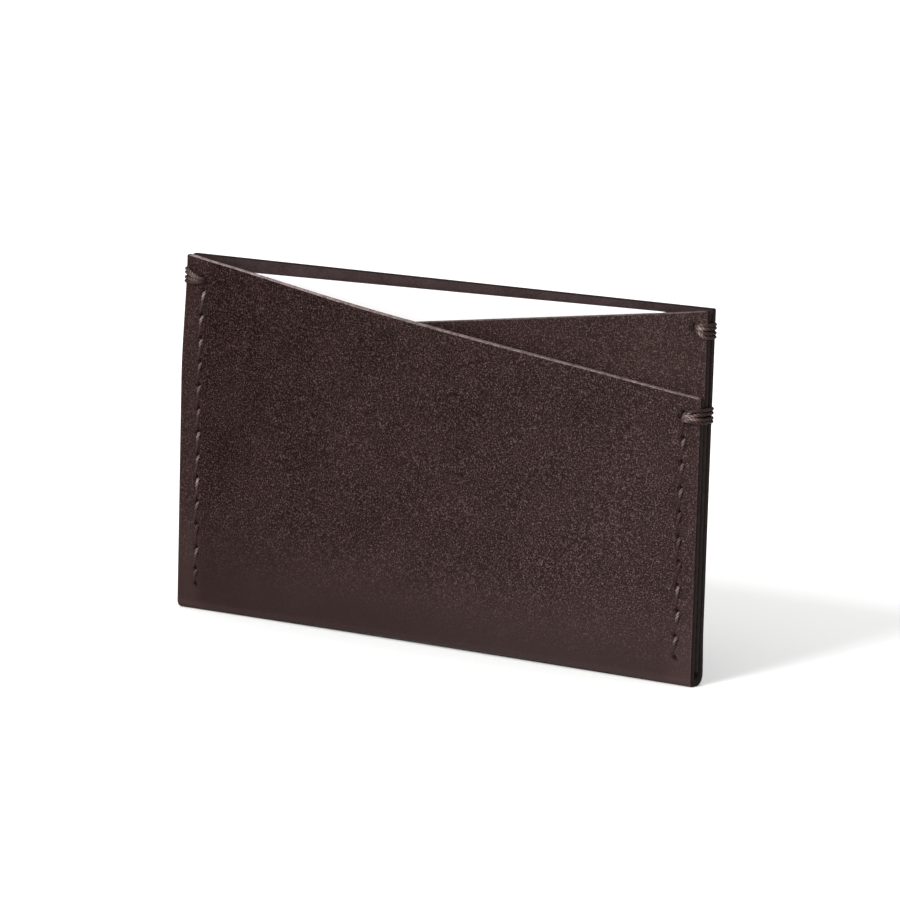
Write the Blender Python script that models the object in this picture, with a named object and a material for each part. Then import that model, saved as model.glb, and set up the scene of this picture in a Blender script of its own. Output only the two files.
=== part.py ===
"""Minimalist leather card wallet with one blank card in its main pocket.

Frame: metres, +Z up, X along the wallet's width, the front panel facing -Y. The origin is the
centre of the overall box on the surface that the fold stands on.

The outer shell is one piece of leather folded at the bottom: a front panel whose top edge is a
diagonal, and a full-height back panel. A divider panel with the opposite diagonal stands between
them. Two stitched side seams hold the three layers, and thread tacks wrap round the side edges.
"""
import bpy
import numpy as np

MM = 0.001

# Overall size
WIDTH = 96.5 * MM
HEIGHT = 58.0 * MM
LEATHER = 1.0 * MM               # thickness of each layer
LAYER_GAP = 0.25 * MM            # clearance between layers at the seams
CORNER_RADIUS = 0.6 * MM         # rounding of the panels' cut corners

# Diagonal top edges
FRONT_LOW_CORNER = 44.5 * MM     # the front panel's right end
DIVIDER_LOW_CORNER = 45.6 * MM   # the divider's left end
DIVIDER_HIGH_CORNER = 57.8 * MM  # the divider's right end
DIVIDER_FOOT = 2.2 * MM          # the divider's free bottom edge, just above the fold

# How the panels stand open
POCKET_SWELL = 1.25 * MM         # how far the card pushes the divider and the front panel forward
SWELL_RAMP = 3.1 * MM            # distance from the seam over which the swell grows
FRONT_BOW = 0.3 * MM             # extra bow of the front panel's free top edge
PINCH_START = 1.0 * MM           # height above the divider's edge where the front starts to close in
PINCH_END = 8.0 * MM             # height above it where the front has closed on to the back

# Fold at the bottom: rounded at the front and the back, flat between, so that the wallet stands
FOLD_RADIUS = 0.8 * MM           # radius of the leather's middle surface
FOOT_HALF_DEPTH = 0.4 * MM       # half the depth of the flat strip that runs along the whole fold

# Card: the standard bank card, tilted a little in its pocket
CARD_WIDTH = 85.6 * MM
CARD_HEIGHT = 53.98 * MM
CARD_THICKNESS = 0.76 * MM
CARD_CORNER = 3.18 * MM
CARD_CLEARANCE = 0.2 * MM
CARD_TOP = 56.55 * MM            # height of the middle of its top edge
CARD_TILT = np.radians(0.7)      # right side up

# Stitching
LEFT_SEAM_X = -44.5 * MM
RIGHT_SEAM_X = 45.3 * MM
STITCH_PITCH = 3.8 * MM
LEFT_TOP_HOLE = 52.3 * MM
RIGHT_TOP_HOLE = 40.2 * MM       # a short locking stitch leads from here to the regular row
RIGHT_ROW_TOP = 38.3 * MM
BOTTOM_HOLE = 4.4 * MM
HOLE_RADIUS = 0.7 * MM
THREAD_RADIUS = 0.25 * MM
STRAND_OFFSET = 0.3 * MM         # half the distance between the two strands in a hole
THREAD_LIFT = 0.4 * MM           # thread centre above the leather between two holes
HOOK_GAP = 0.4 * MM              # thread centre to the middle of the leather stack at its deepest

# Edge tacks: height of the hole, and its distance from the seam line
TACK_HOLE_RADIUS = 0.8 * MM
TACK_FAN = 0.9 * MM              # half the distance between its two turns at the edge
LEFT_TACK_Z = 54.7 * MM
FRONT_TACK_Z = 42.0 * MM
FRONT_TACK_X = 44.6 * MM
DIVIDER_TACK_Z = 54.8 * MM
DIVIDER_TACK_X = 46.0 * MM

# Mesh fineness
THREAD_SIDES = 6
HOLE_SIDES = 8
PANEL_ROWS = 12
FOLD_STEPS = 4
CORNER_STEPS = 5

# Places along Y before the final centring: the divider's middle surface is at 0 along the seams
LAYER_STEP = LEATHER + LAYER_GAP
BACK_FACE = LAYER_STEP + LEATHER / 2
FRONT_REACH = BACK_FACE + POCKET_SWELL + FRONT_BOW
BACK_REACH = BACK_FACE + THREAD_LIFT + THREAD_RADIUS
CENTRING = (FRONT_REACH - BACK_REACH) / 2


def smoothstep(value):
    """Rises smoothly from 0 to 1 as value goes from 0 to 1."""
    t = np.clip(value, 0.0, 1.0)
    return t * t * (3.0 - 2.0 * t)


def across(x):
    """0 at the left side edge, 1 at the right."""
    return x / WIDTH + 0.5


def corner_drop(x):
    """How far a quarter-round corner lowers a panel's edge near the side edges."""
    reach = np.clip(np.abs(x) - (WIDTH / 2 - CORNER_RADIUS), 0.0, CORNER_RADIUS)
    return CORNER_RADIUS - np.sqrt(CORNER_RADIUS ** 2 - reach ** 2)


def front_top(x):
    return HEIGHT + (FRONT_LOW_CORNER - HEIGHT) * across(x) - corner_drop(x)


def back_top(x):
    return HEIGHT - corner_drop(x)


def divider_top(x):
    rise = DIVIDER_HIGH_CORNER - DIVIDER_LOW_CORNER
    return DIVIDER_LOW_CORNER + rise * across(x) - corner_drop(x)


def swell(x):
    """Forward push of the card: none at the seams, full a ramp's length inside them."""
    inside = np.minimum(x - LEFT_SEAM_X, RIGHT_SEAM_X - x)
    return POCKET_SWELL * smoothstep(inside / SWELL_RAMP)


def divider_middle(x):
    """Y of the divider's middle surface."""
    return -swell(x)


def front_middle(x, z):
    """Y of the front panel's middle surface.

    It lies one layer step in front of the divider, bows out a little more towards its free top
    edge, and closes in on the back panel where it reaches above the divider's edge.
    """
    inside = np.clip(4.0 * across(x) * (1.0 - across(x)), 0.0, 1.0)
    bow = FRONT_BOW * inside * (z / HEIGHT) ** 2
    above = z - divider_top(x)
    pinch = LAYER_STEP * smoothstep((above - PINCH_START) / (PINCH_END - PINCH_START))
    return -LAYER_STEP - swell(x) - bow + pinch


def stations():
    """X of the sections along the width: close together at the corners and on the swell ramps."""
    ramp = SWELL_RAMP * np.array([0.0, 0.3, 0.5, 0.7, 1.0])
    left = LEFT_SEAM_X + ramp
    right = RIGHT_SEAM_X - ramp[::-1]
    corner = np.array([0.0, 0.2, 1.0]) * CORNER_RADIUS
    middle = np.linspace(left[-1], right[0], 9)[1:-1]
    return np.concatenate([corner - WIDTH / 2, left, middle, right, WIDTH / 2 - corner[::-1]])


def wall_sections(x, path_y, path_z):
    """Closed outlines of a leather layer, one for each station.

    Each row of path_y and path_z is the layer's middle line at one station. The outline runs
    along it half a thickness to its left and comes back half a thickness to its right.
    """
    step_y = np.gradient(path_y, axis=1)
    step_z = np.gradient(path_z, axis=1)
    length = np.hypot(step_y, step_z)
    off_y = step_z / length * LEATHER / 2
    off_z = -step_y / length * LEATHER / 2
    loop_y = np.concatenate([path_y + off_y, (path_y - off_y)[:, ::-1]], axis=1)
    loop_z = np.concatenate([path_z + off_z, (path_z - off_z)[:, ::-1]], axis=1)
    loop_x = np.broadcast_to(x[:, None], loop_y.shape)
    return np.stack([loop_x, loop_y, loop_z], axis=2)


def skin(name, sections, material):
    """Object whose surface joins a row of closed outlines and closes both ends with strips."""
    count, size = sections.shape[:2]
    faces = []
    for row in range(count - 1):
        for col in range(size):
            a = row * size + col
            b = row * size + (col + 1) % size
            faces.append((a, b, b + size, a + size))
    for row, flip in ((0, True), (count - 1, False)):
        for col in range(size // 2 - 1):
            a = row * size + col
            far = row * size + size - 1 - col
            quad = (a, a + 1, far - 1, far)
            faces.append(quad[::-1] if flip else quad)
    return add_object(name, sections.reshape(-1, 3), faces, material)


def add_object(name, points, faces, material):
    """New mesh object, centred along Y with the rest of the wallet."""
    placed = np.asarray(points, dtype=float) + np.array([0.0, CENTRING, 0.0])
    mesh = bpy.data.meshes.new(name)
    mesh.from_pydata(placed.tolist(), [], faces)
    if material:
        mesh.materials.append(material)
    thing = bpy.data.objects.new(name, mesh)
    bpy.context.scene.collection.objects.link(thing)
    return thing


def make_material(name, colour, roughness):
    material = bpy.data.materials.new(name)
    material.use_nodes = True
    shader = material.node_tree.nodes["Principled BSDF"]
    shader.inputs["Base Color"].default_value = (*colour, 1.0)
    shader.inputs["Roughness"].default_value = roughness
    shader.inputs["Metallic"].default_value = 0.0
    return material


def make_outer_shell(material):
    """Front panel, flattened fold and back panel as one bent sheet."""
    x = stations()
    lift = corner_drop(x)[:, None]
    base = LEATHER / 2
    side = base + FOLD_RADIUS
    rows = np.linspace(1.0, 0.0, PANEL_ROWS)
    front_z = side + (front_top(x)[:, None] - side) * rows
    front_y = front_middle(x[:, None], front_z)
    foot_y = front_middle(x, np.full_like(x, side))[:, None]
    turn = np.linspace(0.0, np.pi / 2, FOLD_STEPS + 1)
    near_y = foot_y + FOLD_RADIUS * (1.0 - np.cos(turn[1:]))
    near_z = side - FOLD_RADIUS * np.sin(turn[1:]) + 0 * foot_y
    flat_y = np.array([-FOOT_HALF_DEPTH, FOOT_HALF_DEPTH]) + 0 * foot_y
    flat_z = np.full_like(flat_y, base)
    far_y = LAYER_STEP - FOLD_RADIUS * (1.0 - np.sin(turn)) + 0 * foot_y
    far_z = side - FOLD_RADIUS * np.cos(turn) + 0 * foot_y
    back_z = side + (back_top(x)[:, None] - side) * np.linspace(0.0, 1.0, 5)[1:]
    back_y = np.full_like(back_z, LAYER_STEP)
    path_y = np.concatenate([front_y, near_y, flat_y, far_y, back_y], axis=1)
    path_z = np.concatenate([front_z, near_z, flat_z, far_z, back_z], axis=1)
    path_z += lift * np.clip((2 * side - path_z) / side, 0.0, 1.0)
    return skin("outer_shell", wall_sections(x, path_y, path_z), material)


def make_divider(material):
    """Flat-cut middle panel that follows the card's swell."""
    x = stations()
    foot = DIVIDER_FOOT + corner_drop(x)[:, None]
    rows = np.linspace(1.0, 0.0, PANEL_ROWS)
    path_z = foot + (divider_top(x)[:, None] - foot) * rows
    path_y = np.broadcast_to(divider_middle(x)[:, None], path_z.shape)
    return skin("divider_panel", wall_sections(x, path_y, path_z), material)


def seam_holes(top, row_top):
    """Heights of a seam's stitch holes, top to bottom, evenly pitched above the last one."""
    row = np.arange(row_top, BOTTOM_HOLE + STITCH_PITCH / 2, -STITCH_PITCH)
    first = [top] if top > row_top else []
    return np.concatenate([first, row, [BOTTOM_HOLE]])


def front_face(x, z):
    """Y of the foremost leather surface: the front panel's, or the divider's above it."""
    if z < front_top(x):
        return front_middle(x, z) - LEATHER / 2
    return divider_middle(x) - LEATHER / 2


def tube(name, path, radius, material):
    """Closed round tube along a list of points, mitred at each bend."""
    path = np.asarray(path, dtype=float)
    along = np.diff(path, axis=0)
    along /= np.linalg.norm(along, axis=1)[:, None]
    before = np.concatenate([along[:1], along])
    after = np.concatenate([along, along[-1:]])
    angles = np.arange(THREAD_SIDES) * 2 * np.pi / THREAD_SIDES
    side = np.cross(before[0], [1.0, 0.0, 0.0] if abs(before[0][0]) < 0.9 else [0.0, 1.0, 0.0])
    side /= np.linalg.norm(side)
    up = np.cross(before[0], side)
    ring = np.outer(np.cos(angles), side) * radius + np.outer(np.sin(angles), up) * radius
    rings = []
    for point, arrive, leave in zip(path, before, after):
        plane = arrive + leave
        ring = ring - np.outer(ring @ plane / (arrive @ plane), arrive)
        rings.append(point + ring)
    points = np.concatenate(rings)
    count = len(path)
    faces = []
    for row in range(count - 1):
        for col in range(THREAD_SIDES):
            a = row * THREAD_SIDES + col
            b = row * THREAD_SIDES + (col + 1) % THREAD_SIDES
            faces.append((a, b, b + THREAD_SIDES, a + THREAD_SIDES))
    faces.append(tuple(range(THREAD_SIDES))[::-1])
    faces.append(tuple(range((count - 1) * THREAD_SIDES, count * THREAD_SIDES)))
    return add_object(name, points, faces, material)


def seam_path(x, holes, outward):
    """Path of one thread of a lockstitched seam, seen from the side that outward names.

    outward is -1 for the front and +1 for the back. The thread arches over the leather from hole
    to hole, and in each hole it dips to the middle of the stack, where it hooks the other thread.
    """
    path = []
    last = len(holes) - 1
    for number, z in enumerate(holes):
        face = front_face(x, z) if outward < 0 else BACK_FACE
        middle = (front_face(x, z) + BACK_FACE) / 2
        rim = face + outward * THREAD_LIFT * 0.8
        deep = middle + outward * HOOK_GAP
        shoulder = deep + outward * STRAND_OFFSET * 0.6
        down_leg = [(x, rim, z + STRAND_OFFSET), (x, shoulder, z + STRAND_OFFSET)]
        up_leg = [(x, shoulder, z - STRAND_OFFSET), (x, rim, z - STRAND_OFFSET)]
        if number > 0:
            path += down_leg
        path.append((x, deep, z))
        if number < last:
            path += up_leg
            span = z - holes[number + 1] - 2 * STRAND_OFFSET
            for share in (0.3, 0.7):
                crest_z = z - STRAND_OFFSET - share * span
                crest_face = front_face(x, crest_z) if outward < 0 else BACK_FACE
                path.append((x, crest_face + outward * THREAD_LIFT, crest_z))
    return path


def tack_path(hole_x, hole_z):
    """Two turns of thread round a side edge, through one hole.

    Both turns leave the hole on the front, fan apart on their way to the edge, pass round it and
    come back to the hole behind. The strand that joins them crosses inside the hole.
    """
    side = np.sign(hole_x)
    edge_x = side * (WIDTH / 2 + THREAD_LIFT)
    path = []
    for turn, lean in enumerate((1.0, -1.0)):
        near_z = hole_z + lean * STRAND_OFFSET
        far_z = hole_z + lean * TACK_FAN
        front_hole = front_face(hole_x, near_z) - THREAD_LIFT
        front_edge = front_face(side * WIDTH / 2, far_z) - THREAD_LIFT
        behind = BACK_FACE + THREAD_LIFT
        start_x = hole_x + side * STRAND_OFFSET if turn == 0 else hole_x - side * STRAND_OFFSET
        end_x = hole_x - side * STRAND_OFFSET if turn == 0 else hole_x + side * STRAND_OFFSET
        if turn == 0:
            path.append((start_x, front_hole + 3 * THREAD_LIFT, near_z))
        path.append((start_x, front_hole, near_z))
        path.append((edge_x - side * THREAD_LIFT * 0.6, front_edge, far_z))
        path.append((edge_x, front_edge + THREAD_LIFT * 0.6, far_z))
        path.append((edge_x, behind - THREAD_LIFT * 0.6, far_z))
        path.append((edge_x - side * THREAD_LIFT * 0.6, behind, far_z))
        path.append((end_x, behind, near_z))
        if turn == 1:
            path.append((end_x, behind - 3 * THREAD_LIFT, near_z))
    return path


def make_cutters(holes):
    """One hidden object with a round punch for each hole, given as (x, z, radius)."""
    reach = 2 * FRONT_REACH
    angles = (np.arange(HOLE_SIDES) + 0.5) * 2 * np.pi / HOLE_SIDES
    points = []
    faces = []
    for x, z, radius in holes:
        start = len(points)
        for y in (-reach, reach):
            points += [(x + radius * np.cos(a), y, z + radius * np.sin(a)) for a in angles]
        near = [start + n for n in range(HOLE_SIDES)]
        far = [n + HOLE_SIDES for n in near]
        faces.append(tuple(near))
        faces.append(tuple(far[::-1]))
        for n in range(HOLE_SIDES):
            m = (n + 1) % HOLE_SIDES
            faces.append((near[n], far[n], far[m], near[m]))
    cutter = add_object("stitch_punches", points, faces, None)
    cutter.hide_render = True
    cutter.display_type = "WIRE"
    return cutter


def punch(leather, cutter):
    """Cut the stitch holes through a leather piece."""
    cut = leather.modifiers.new("stitch_holes", "BOOLEAN")
    cut.operation = "DIFFERENCE"
    cut.solver = "EXACT"
    cut.object = cutter


def make_card(material):
    """Round-cornered plate standing in the main pocket, its origin at its middle."""
    outline = []
    for corner_x, corner_z, start in ((1, 1, 0), (-1, 1, 90), (-1, -1, 180), (1, -1, 270)):
        centre_x = corner_x * (CARD_WIDTH / 2 - CARD_CORNER)
        centre_z = corner_z * (CARD_HEIGHT / 2 - CARD_CORNER)
        for angle in np.radians(start + np.linspace(0.0, 90.0, CORNER_STEPS + 1)):
            outline.append((centre_x + CARD_CORNER * np.cos(angle),
                            centre_z + CARD_CORNER * np.sin(angle)))
    half = CARD_THICKNESS / 2
    points = [(x, y, z) for y in (-half, half) for x, z in outline]
    size = len(outline)
    near = list(range(size))
    far = [n + size for n in near]
    faces = [tuple(near), tuple(far[::-1])]
    for n in range(size):
        m = (n + 1) % size
        faces.append((near[n], far[n], far[m], near[m]))
    mesh = bpy.data.meshes.new("blank_card")
    mesh.from_pydata(points, [], faces)
    mesh.materials.append(material)
    card = bpy.data.objects.new("blank_card", mesh)
    bpy.context.scene.collection.objects.link(card)
    middle_y = BACK_FACE - LEATHER - CARD_CLEARANCE - half
    card.location = ((LEFT_SEAM_X + RIGHT_SEAM_X) / 2, middle_y + CENTRING, CARD_TOP - CARD_HEIGHT / 2)
    card.rotation_euler = (0.0, -CARD_TILT, 0.0)
    return card


def main():
    for thing in list(bpy.data.objects):
        bpy.data.objects.remove(thing, do_unlink=True)

    leather = make_material("dark_brown_leather", (0.035, 0.020, 0.018), 0.5)
    thread = make_material("brown_waxed_thread", (0.050, 0.028, 0.023), 0.6)
    plastic = make_material("white_card_plastic", (0.9, 0.9, 0.9), 0.4)

    seams = {
        "left": (LEFT_SEAM_X, seam_holes(LEFT_TOP_HOLE, LEFT_TOP_HOLE)),
        "right": (RIGHT_SEAM_X, seam_holes(RIGHT_TOP_HOLE, RIGHT_ROW_TOP)),
    }
    tacks = {
        "left_edge_tack": (LEFT_SEAM_X, LEFT_TACK_Z),
        "right_front_edge_tack": (FRONT_TACK_X, FRONT_TACK_Z),
        "right_divider_edge_tack": (DIVIDER_TACK_X, DIVIDER_TACK_Z),
    }

    holes = [(x, z, HOLE_RADIUS) for x, heights in seams.values() for z in heights]
    holes += [(x, z, TACK_HOLE_RADIUS) for x, z in tacks.values()]
    cutter = make_cutters(holes)

    punch(make_outer_shell(leather), cutter)
    punch(make_divider(leather), cutter)
    for side, (x, heights) in seams.items():
        for face, outward in (("front", -1), ("back", 1)):
            name = f"{side}_seam_{face}_thread"
            tube(name, seam_path(x, heights, outward), THREAD_RADIUS, thread)
    for name, (x, z) in tacks.items():
        tube(name, tack_path(x, z), THREAD_RADIUS, thread)
    make_card(plastic)


main()
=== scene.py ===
"""Looks of a slim card wallet in fine-grained brown leather, with one blank card in it.

Each piece here stands in for one CAD node, in its place to within a millimetre or two. The leather
layers lie closer together than the CAD solids, as pressed leather does, and each edge tack has
four strands for the CAD's two turns. Shapes are worked out from the frame's boxes and the sizes
below.
"""
import bpy
import numpy as np
from mathutils import Matrix, Vector


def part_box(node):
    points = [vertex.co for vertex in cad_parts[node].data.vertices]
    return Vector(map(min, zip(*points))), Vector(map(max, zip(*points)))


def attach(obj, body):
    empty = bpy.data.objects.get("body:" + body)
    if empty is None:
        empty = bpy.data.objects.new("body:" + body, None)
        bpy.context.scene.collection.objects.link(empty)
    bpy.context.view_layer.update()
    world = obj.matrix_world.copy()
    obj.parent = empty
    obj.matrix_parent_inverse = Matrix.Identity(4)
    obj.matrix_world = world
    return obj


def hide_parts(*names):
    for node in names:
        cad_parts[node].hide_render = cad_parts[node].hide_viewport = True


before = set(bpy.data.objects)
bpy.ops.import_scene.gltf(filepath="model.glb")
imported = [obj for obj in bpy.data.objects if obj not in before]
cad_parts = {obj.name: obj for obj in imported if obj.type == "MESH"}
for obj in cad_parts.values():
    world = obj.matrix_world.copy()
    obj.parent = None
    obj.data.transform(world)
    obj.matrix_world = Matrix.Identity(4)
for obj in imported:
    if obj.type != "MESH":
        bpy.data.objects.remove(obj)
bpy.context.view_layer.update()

MM = 0.001

# Places read from the frame
SHELL_LOW, SHELL_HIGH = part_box("outer_shell")
CARD_LOW, CARD_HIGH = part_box("blank_card")
WIDTH = SHELL_HIGH.x - SHELL_LOW.x
HEIGHT = SHELL_HIGH.z
BACK_FACE = SHELL_HIGH.y

# Leather layers
LEATHER = 1.05 * MM
LAYER_GAP = 0.17 * MM
LAYER_STEP = LEATHER + LAYER_GAP
EDGE_ROUND = 0.15 * MM           # rounding of every cut edge
EDGE_CROWN = 0.03 * MM           # the cut edge's slight swell between its roundings
CORNER_RADIUS = 0.30 * MM
FRONT_LOW_CORNER = 44.5 * MM
DIVIDER_LOW_CORNER = 45.6 * MM
DIVIDER_HIGH_CORNER = 57.8 * MM
DIVIDER_FOOT = 2.2 * MM
NEAR_FOLD_RADIUS = 0.6 * MM      # of the leather's middle surface, at the front and the back
FAR_FOLD_RADIUS = 1.1 * MM
FOLD_RISE = 0.35 * MM            # the folded edge arches this much between its two ends
SIDE_FADE = 0.8 * MM             # relief and the pale edge die away this near a side edge
CALM_REACH = 2.0 * MM            # and relief dies away this near the fold

# How the panels stand round the card
CARD_SWELL = 0.65 * MM           # the divider's forward push where the card lies behind it
FRONT_SWELL = 0.50 * MM          # the same for the front panel, which closes up on the divider
SWELL_RAMP = 6.0 * MM            # distance from the side edge at which the push is full
FOOT_RAMP = 6.0 * MM             # height at which it is full on the front panel
DIVIDER_BOW = 0.33 * MM
PINCH_START = 37.5 * MM          # height at which the front panel starts to close on the back
PINCH_END = 58.5 * MM
PINCH_SIDE = -42.0 * MM          # left of here the front panel only closes by that pinch
PINCH_REACH = 22.0 * MM          # and this far to the right of it, it no longer does
FOLD_BULGE = 0.25 * MM           # the fold stands this much behind the pressed stack above it
FOLD_BULGE_HEIGHT = 7.0 * MM
BACK_LEAN = 0.25 * MM            # and its top edge leans back this much

# How far the front panel's top edge stands in front of the pressed stack, along its width
BOW_X = np.array([-49, -45, -42.4, -40, -37, -33.6, -27, -21, -15, -8, 0, 7, 14, 21, 27, 34, 41, 49]) * MM
BOW_Y = np.array([-1.10, -1.08, -1.00, -0.98, -0.75, -0.32, 0.42, 1.05, 1.58, 1.86, 1.80, 1.60, 1.28,
                  0.86, 0.50, 0.18, -0.05, -0.10]) * MM

# Stitching
LEFT_SEAM_X = -44.5 * MM
RIGHT_SEAM_X = 45.3 * MM
STITCH_PITCH = 3.8 * MM
LEFT_TOP_HOLE = 52.3 * MM
RIGHT_TOP_HOLE = 42.3 * MM
RIGHT_ROW_TOP = 38.3 * MM
BOTTOM_HOLE = 4.4 * MM
HOLE_REACH = 0.36 * MM           # how far round a hole the leather is drawn in
SLIT_ALONG = 1.9                 # that reach is longer along the pricked slit
SLIT_ACROSS = 1.1
DENT_DEPTH = 0.45 * MM
TACK_DENT = 0.66 * MM            # reach of the dent at a tack's hole
FURROW_REACH = 0.55 * MM
FURROW_DEPTH = 0.10 * MM
RIPPLE_DEPTH = 0.03 * MM
THREAD_RADIUS = 0.25 * MM
THREAD_LAY = 1.7 * MM            # length in which the plies turn once
THREAD_LIFT = 0.19 * MM          # thread centre above the leather where it arches
THREAD_SINK = -0.17 * MM         # and where it lies sunk in the furrow before the next hole
STITCH_SLANT = 0.85 * MM         # how far its upper end stands to the right of its lower one
STRAND_OFFSET = 0.27 * MM        # height between the strands that share a hole
HOOK_DEPTH = 0.95 * MM           # depth in a hole where the front and back threads meet
LEFT_HIGHLIGHT = 0.85                 # the most pale highlight painted on a stitch of the seam, 0 to 1
RIGHT_HIGHLIGHT = 0.60
WRAP_RADIUS = 0.29 * MM
WRAP_LIFT = 0.25 * MM            # thread centre above the leather in an edge wrap
WRAP_TURN = 0.55 * MM            # size of the round turn that it makes at the edge
LEFT_TACK = (LEFT_SEAM_X, 54.0 * MM)
FRONT_TACK = (45.2 * MM, 41.3 * MM)
DIVIDER_TACK = (46.0 * MM, 55.0 * MM)
TACK_FAN = np.array([1.0, 0.42, -0.42, -1.0]) * 0.95 * MM    # heights of its strands at the edge

# Painted sheen: leather painted paler as a highlight along the fold and the side edges, and as sheen over the
# side margins and the divider: 0 is none and 1 is full
FOLD_SHEEN_REACH = 0.7 * MM
SIDE_SHEEN = 0.7
SIDE_SHEEN_REACH = 0.25 * MM
MARGIN = 3.0 * MM                # strip along each side edge that gets the painted sheen
MARGIN_FADE = 2.4 * MM
MARGIN_SHEEN = 0.4
DIVIDER_SHEEN = 0.3

# Cut top edges: 0 is stained dark and 1 is raw
PALE_DROP = 0.35                 # the shell's edge is raw at the left and this much darker at the right
PALE_REACH = 25.0 * MM           # the change takes up this much of the width, left of the middle
DIVIDER_PALE = 0.32

# How finely the leather is divided: columns crowd at the side edges and the seams
COLUMNS = 190
FRONT_ROWS = 164
BACK_ROWS = 91
DIVIDER_ROWS = 112
END_SPOTS = [(-WIDTH / 2, 0.35 * MM, 25.0), (WIDTH / 2, 0.35 * MM, 25.0)]
SEAM_SPOTS = [(LEFT_SEAM_X, 1.1 * MM, 7.0), (RIGHT_SEAM_X, 1.1 * MM, 7.0)]

# Card
CARD_WIDTH = 85.6 * MM
CARD_HEIGHT = 53.98 * MM
CARD_THICKNESS = 0.76 * MM
CARD_CORNER = 3.18 * MM
CARD_BEVEL = 0.07 * MM
CARD_TILT = np.radians(0.7)
CARD_CLEARANCE = 0.04 * MM       # between its back and the leather
CARD_SETTLE = 0.2 * MM           # it has sunk this far into the fold

# Studio
FLOOR_REACH = 4.0
SUN_PLACE = (-0.17, -0.83, 0.54)
CAMERA_TURNS = np.radians([32.36, 9.39, 1.57])     # yaw, pitch and roll
CAMERA_AIM = np.array([0.0, 0.45, 29.0]) * MM
CAMERA_DISTANCE = 707.0 * MM
CAMERA_SIDESTEP = 2.30 * MM
CAMERA_UPSTEP = 2.14 * MM

rng = np.random.default_rng(58)


# ---------------------------------------------------------------- small sums

def smoothstep(value):
    """Rises smoothly from 0 to 1 as value goes from 0 to 1."""
    t = np.clip(value, 0.0, 1.0)
    return t * t * (3.0 - 2.0 * t)


def quarter_drop(depth, radius):
    """How far a quarter circle of this radius has fallen away, depth inside its start."""
    reach = np.clip(radius - depth, 0.0, radius)
    return radius - np.sqrt(radius ** 2 - reach ** 2)


def side_depth(x):
    """Distance inwards from the nearer side edge."""
    return WIDTH / 2 - np.abs(x)


def graded(low, high, count, spots):
    """Rising values from low to high that crowd round each spot.

    A weight of one plus a bell curve for each (centre, reach, strength) is summed along the
    range, and the values are read where that sum has equal steps.
    """
    fine = np.linspace(low, high, 6001)
    weight = np.ones_like(fine)
    for centre, reach, strength in spots:
        weight += strength * np.exp(-((fine - centre) / reach) ** 2)
    total = np.concatenate([[0.0], np.cumsum((weight[1:] + weight[:-1]) / 2)])
    return np.interp(np.linspace(0.0, total[-1], count), total, fine)


# ---------------------------------------------------------------- shape of the panels

def front_top(x):
    """The front panel's top edge: a straight diagonal, falling to the right."""
    fall = (HEIGHT - FRONT_LOW_CORNER) * (x / WIDTH + 0.5)
    return HEIGHT - fall - quarter_drop(side_depth(x), CORNER_RADIUS)


def back_top(x):
    """The back panel's top edge: level at full height, rounded at both corners."""
    return HEIGHT - quarter_drop(side_depth(x), CORNER_RADIUS)


def divider_top(x):
    """The divider's top edge: a straight diagonal, rising to the right."""
    rise = (DIVIDER_HIGH_CORNER - DIVIDER_LOW_CORNER) * (x / WIDTH + 0.5)
    return DIVIDER_LOW_CORNER + rise - quarter_drop(side_depth(x), CORNER_RADIUS)


def swell(x):
    """0 to 1: the card's forward push, from nothing at the side edges to full one ramp inside."""
    return smoothstep(side_depth(x) / SWELL_RAMP)


def divider_middle(x, z):
    """Y of the divider's middle surface: one layer step in front of the back panel, pushed on
    by the card and by a bow that grows with height and is widest in the middle."""
    bow = DIVIDER_BOW * np.clip(1.0 - (2 * x / WIDTH) ** 2, 0.0, 1.0) * np.clip(z / HEIGHT, 0.0, 1.0) ** 1.5
    return BACK_FACE - LEATHER / 2 - LAYER_STEP - CARD_SWELL * swell(x) - bow


def top_bow(x):
    """The bow of the front panel's top edge: straight runs between its knots, rounded by a
    running mean."""
    fine = np.linspace(BOW_X[0], BOW_X[-1], 401)
    kernel = np.hanning(33)
    kernel /= kernel.sum()
    padded = np.pad(np.interp(fine, BOW_X, BOW_Y), 16, mode="reflect", reflect_type="odd")
    return np.interp(x, fine, np.convolve(padded, kernel, mode="valid"))


def front_middle(x, z):
    """Y of the front panel's middle surface.

    Two layer steps in front of the back panel, pushed forward by the card above its foot, plus
    the top edge's bow. The bow grows with the square of the height over most of the width, and
    turns in only above the divider's corner at the left end.
    """
    foot = smoothstep(z / FOOT_RAMP)
    spread = np.clip(z / front_top(x), 0.0, 1.0) ** 2
    pinch = smoothstep((z - PINCH_START) / (PINCH_END - PINCH_START))
    share = smoothstep((x - PINCH_SIDE) / PINCH_REACH)
    bow = top_bow(x) * (pinch + (spread - pinch) * share)
    return BACK_FACE - LEATHER / 2 - 2 * LAYER_STEP - FRONT_SWELL * swell(x) * foot - bow


def front_face(x, z):
    """Y of the leather that faces the front: the front panel, or the divider above it."""
    covered = z < front_top(x)
    return np.where(covered, front_middle(x, z), divider_middle(x, z)) - LEATHER / 2


# ---------------------------------------------------------------- stitch holes

def seam_holes(x, heights):
    """Stitch holes as rows of (x, z), each a hair off the line, as pricked by hand."""
    holes = np.stack([np.full_like(heights, x), heights], axis=1)
    return holes + rng.normal(0.0, 0.07 * MM, holes.shape)


def seam_heights(first, row_top):
    """Heights of a seam's holes: an even row below row_top, the first hole if it stands above the
    row, and the lowest hole."""
    row = np.arange(row_top, BOTTOM_HOLE + STITCH_PITCH / 2, -STITCH_PITCH)
    start = [first] if first > row_top else []
    return np.concatenate([start, row, [BOTTOM_HOLE]])


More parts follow.
